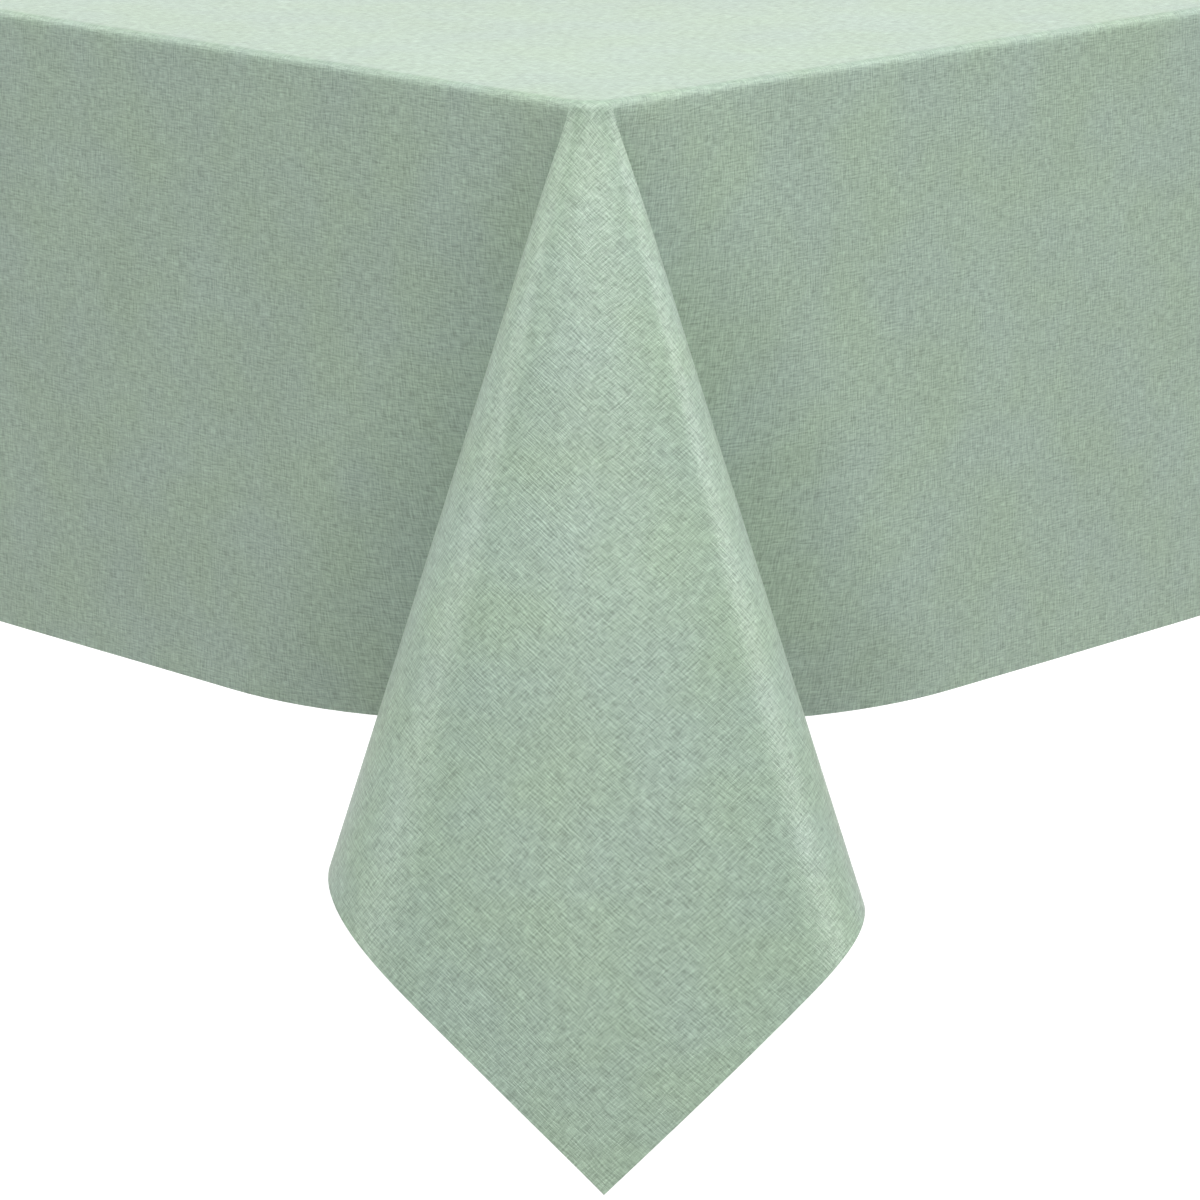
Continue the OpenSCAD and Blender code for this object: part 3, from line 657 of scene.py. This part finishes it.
def oak(name, light, dark, along, staves=False):
    """Oiled oak with its grain along one axis."""
    mat, tree, shader = new_material(name)
    spot = add(tree, "TexCoord").outputs["Object"]
    grain = scaled(tree, spot, GRAIN_ALONG[along])
    waver = noise(tree, grain, scale=1.0, detail=4.0, roughness=0.6)
    fine = noise(tree, scaled(tree, grain, (9, 9, 9)), scale=1.0, detail=3.0, roughness=0.65)
    rings = add(tree, "TexWave", wave_type="BANDS", bands_direction="DIAGONAL")
    rings.inputs["Scale"].default_value = 0.55
    rings.inputs["Distortion"].default_value = 5.0
    rings.inputs["Detail"].default_value = 3.0
    join(tree, grain, rings.inputs["Vector"])
    broad = maths(tree, "MULTIPLY", waver, 1 - RING_SHARE)
    tone = maths(tree, "ADD", broad, maths(tree, "MULTIPLY", rings.outputs["Fac"], RING_SHARE))
    colour = mixed(tree, ranged(tree, tone, 0.3, 0.75, 0, 1), dark, light)
    colour = mixed(tree, ranged(tree, fine, 0.56, 0.70, 0, 0.55), colour, tuple(0.45 * c for c in dark))
    if staves:
        colour = mixed(tree, 1.0, colour, stave_tone(tree, spot), "MULTIPLY")
    join(tree, colour, shader.inputs["Base Color"])
    join(tree, ranged(tree, fine, 0.3, 0.7, 0.42, 0.60), shader.inputs["Roughness"])
    bumped(tree, shader, fine, 0.25, 0.0004)
    return mat


def stave_tone(tree, spot):
    """A slightly different tone for each board of the top."""
    parts = add(tree, "SeparateXYZ")
    join(tree, spot, parts.inputs[0])
    number = maths(tree, "FLOOR", maths(tree, "DIVIDE", parts.outputs["Y"], STAVE_W))
    chance = add(tree, "TexWhiteNoise", noise_dimensions="1D")
    join(tree, number, chance.inputs["W"])
    return mixed(tree, chance.outputs["Value"], (0.82, 0.80, 0.78), (1.0, 1.0, 1.0))


def zinc():
    """Zinc-plated steel, a little uneven."""
    mat, tree, shader = new_material("zinc_plate")
    spot = add(tree, "TexCoord").outputs["Object"]
    spangle = noise(tree, spot, scale=260.0, detail=2.0)
    fine = noise(tree, spot, scale=1500.0, detail=2.0)
    join(tree, mixed(tree, spangle, (0.50, 0.51, 0.53), (0.68, 0.69, 0.71)), shader.inputs["Base Color"])
    shader.inputs["Metallic"].default_value = 1.0
    join(tree, ranged(tree, spangle, 0.3, 0.7, 0.28, 0.46), shader.inputs["Roughness"])
    bumped(tree, shader, fine, 0.2, 0.0001)
    return mat


def nylon():
    """Dark moulded nylon."""
    mat, tree, shader = new_material("moulded_nylon")
    spot = add(tree, "TexCoord").outputs["Object"]
    fine = noise(tree, spot, scale=1800.0, detail=2.0)
    scuff = noise(tree, spot, scale=90.0, detail=4.0)
    worn = ranged(tree, scuff, 0.45, 0.7, 0, 1)
    colour = mixed(tree, worn, (0.022, 0.022, 0.024), (0.07, 0.07, 0.072))
    join(tree, colour, shader.inputs["Base Color"])
    join(tree, ranged(tree, scuff, 0.3, 0.7, 0.45, 0.65), shader.inputs["Roughness"])
    bumped(tree, shader, fine, 0.3, 0.0002)
    return mat


def dress_table():
    """Gives every piece of the table its material."""
    finishes = [
        (oak("oak_top_boards", *OAK, "X", staves=True), ["top_panel"]),
        (oak("oak_end_boards", *OAK, "Y"), ["end_board_left", "end_board_right"]),
        (oak("oak_beams", *OAK, "Y"),
         ["head_beam_left", "head_beam_right", "foot_beam_left", "foot_beam_right"]),
        (oak("oak_posts", *OAK, "Z"), ["post_left", "post_right"]),
        (oak("oak_rails", *OAK, "X"), ["top_rail", "cleat_front", "cleat_back"]),
        (oak("oak_pegs", *PEG_OAK, "Z"), ["end_board_pegs"]),
        (oak("oak_cross_pegs", *PEG_OAK, "X"), ["tenon_pegs"]),
        (zinc(),
         ["cleat_screws", "rail_bolts", "rail_bolt_washers", "barrel_nuts", "top_screws",
          "top_screw_washers", "glide_pins"]),
        (nylon(), ["glides"]),
    ]
    for mat, names in finishes:
        for name in names:
            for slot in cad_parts[name].material_slots:
                slot.material = mat


dress_table()


# ---------------------------------------------------------------- floor and light

FLOOR_HALF = 14.0      # half the floor's width
FLOOR_TONE = 0.32
FLOOR_GLOW = 0.97      # strength of the floor's own light
WORLD_STRENGTH = 0.13

# Each light: its name, its azimuth, elevation and distance from the near corner, and its width,
# height and power.
LIGHTS = [
    ("overhead_light", 45, 70, 2.4, 2.0, 2.0, 47),
    ("key_light", 48, 42, 3.0, 0.9, 0.9, 33),
    ("back_light", 225, 14, 4.0, 4.0, 1.6, 22),
    ("left_edge_light", -77, 42, 3.0, 0.5, 0.6, 13),
    ("right_edge_light", 167, 42, 3.0, 0.5, 0.6, 13),
    ("rear_left_light", 270, 15, 3.6, 1.6, 1.2, 12),
    ("rear_right_light", 180, 15, 3.6, 1.6, 1.2, 14),
    ("left_light", -34, 27, 3.0, 0.5, 1.8, 29),
    ("right_light", 124, 27, 3.0, 0.5, 1.8, 44),
]


def make_floor():
    """A pale floor that glows white, but throws no diffuse light back on the cloth."""
    half = FLOOR_HALF
    mesh = bpy.data.meshes.new("floor")
    square = [(-half, -half, 0), (half, -half, 0), (half, half, 0), (-half, half, 0)]
    mesh.from_pydata(square, [], [(0, 1, 2, 3)])
    floor = bpy.data.objects.new("floor", mesh)
    scene.collection.objects.link(floor)
    mat, _, shader = new_material("pale_floor")
    shader.inputs["Base Color"].default_value = (FLOOR_TONE, FLOOR_TONE, FLOOR_TONE, 1)
    shader.inputs["Roughness"].default_value = 0.9
    shader.inputs["Specular IOR Level"].default_value = 0.0
    shader.inputs["Emission Color"].default_value = (1, 1, 1, 1)
    shader.inputs["Emission Strength"].default_value = FLOOR_GLOW
    mesh.materials.append(mat)
    floor.visible_diffuse = False


def make_world():
    world = bpy.data.worlds.new("studio")
    world.use_nodes = True
    back = world.node_tree.nodes["Background"]
    back.inputs["Color"].default_value = (1, 1, 1, 1)
    back.inputs["Strength"].default_value = WORLD_STRENGTH
    scene.world = world


def softbox(name, azimuth, elevation, distance, width, height, power):
    """A soft light aimed at the near corner of the cloth, halfway down its drop."""
    aim = Vector((HALF_X, -HALF_Y, CLOTH_Z - DROP / 2))
    data = bpy.data.lights.new(name, "AREA")
    data.shape = "RECTANGLE"
    data.size = width
    data.size_y = height
    data.energy = power
    lamp = bpy.data.objects.new(name, data)
    scene.collection.objects.link(lamp)
    way = look_from(azimuth, elevation)
    lamp.location = aim + distance * way
    lamp.rotation_euler = way.to_track_quat("Z", "Y").to_euler()
    lamp.visible_camera = False


make_floor()
make_world()
for light in LIGHTS:
    softbox(*light)
scene.view_settings.view_transform = "Standard"
